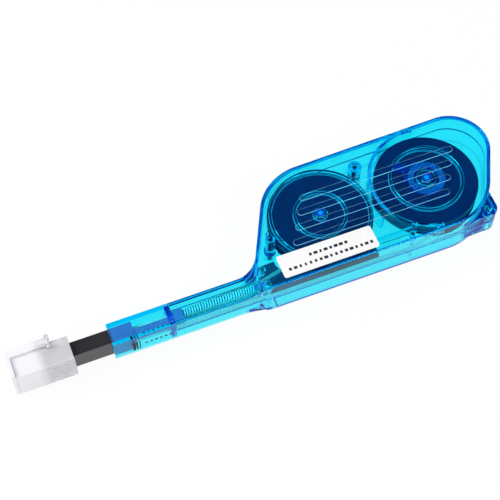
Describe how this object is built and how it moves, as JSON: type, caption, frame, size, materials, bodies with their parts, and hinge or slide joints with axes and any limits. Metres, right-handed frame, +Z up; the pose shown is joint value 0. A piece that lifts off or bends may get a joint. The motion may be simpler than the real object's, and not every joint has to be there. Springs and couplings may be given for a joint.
{
  "type": "one-click cleaner for multi-fibre push-on optical connectors",
  "caption": "Hand-held push-to-wipe cleaner: tape reels in a clear blue case, a sprung nose with a rack, and a lidded guide cap.",
  "frame": {"origin": "middle of the box of the whole part, at its base: the plane of the case's flat bottom face", "axes": "+X from the nose and cap to the tail along the barrel, +Z up through the thickness of the case"},
  "size_m": [0.2128, 0.0504, 0.0185],
  "materials": {
    "shell_blue": "clear-tinted blue, polished moulding",
    "black": "fine matte moulding",
    "gear_white": "natural moulding",
    "crown_clear": "natural clear moulding",
    "cap_frost": "frosted translucent moulding",
    "steel": "bright drawn wire and pins",
    "leaf": "spring leaf",
    "tape": "fine woven wiping tape",
    "pad": "soft moulded pad",
    "felt": "pressed felt",
    "paper": "white film label"
  },
  "bodies": {
    "case": {"top_shell": "shell_blue", "bottom_shell": "shell_blue", "front_sleeve": "shell_blue", "bulkhead": "shell_blue", "case_pins": "black", "guide_pins": "steel", "label": "paper", "tip_carrier": "gear_white", "wiping_pad": "pad", "tape_run": "tape", "return_spring": "steel", "reverse_stop": "leaf", "drag_washer": "felt", "crown_click": "crown_clear"},
    "nose": {"nose_tube": "black", "push_rod": "black", "slider_rack": "black"},
    "drive": {"drive_gear": "gear_white", "clutch_pawl": "leaf"},
    "take_up": {"take_up_spool": "black", "take_up_disc": "black", "take_up_tape": "tape"},
    "supply": {"supply_spool": "black", "supply_disc": "black", "supply_crown": "crown_clear", "supply_tape": "tape"},
    "cap": {"guide_cap": "cap_frost", "lid_pin": "steel"},
    "lid": {"cap_lid": "cap_frost"}
  },
  "joints": [
    {"name": "nose_push", "type": "slide", "parent": "case", "child": "nose", "axis": [1, 0, 0], "range_m": [0, 0.012], "stiffness_N_per_m": 400, "springref_m": -0.006, "deforming": ["return_spring"]},
    {"name": "gear_turn", "type": "hinge", "parent": "case", "child": "drive", "pos_m": [0.0282, 0.0004, 0.009], "axis": [0, 0, 1], "range_deg": [0, 58]},
    {"name": "take_up_turn", "type": "hinge", "parent": "case", "child": "take_up", "pos_m": [0.0282, 0.0004, 0.009], "axis": [0, 0, 1], "range_deg": [0, 58]},
    {"name": "supply_turn", "type": "hinge", "parent": "case", "child": "supply", "pos_m": [0.075, 0.0004, 0.009], "axis": [0, 0, 1], "range_deg": [-28, 0]},
    {"name": "cap_pull", "type": "slide", "parent": "nose", "child": "cap", "axis": [-1, 0, 0], "range_m": [0, 0.02]},
    {"name": "lid_open", "type": "hinge", "parent": "cap", "child": "lid", "pos_m": [-0.0898, -0.01495, 0.017], "axis": [0, 1, 0], "range_deg": [0, 120]}
  ],
  "couplings": [
    {"joint": "gear_turn", "follows": "nose_push", "rad_per_m": 83.333},
    {"joint": "take_up_turn", "follows": "nose_push", "rad_per_m": 83.333},
    {"joint": "supply_turn", "follows": "nose_push", "rad_per_m": -39.352}
  ]
}
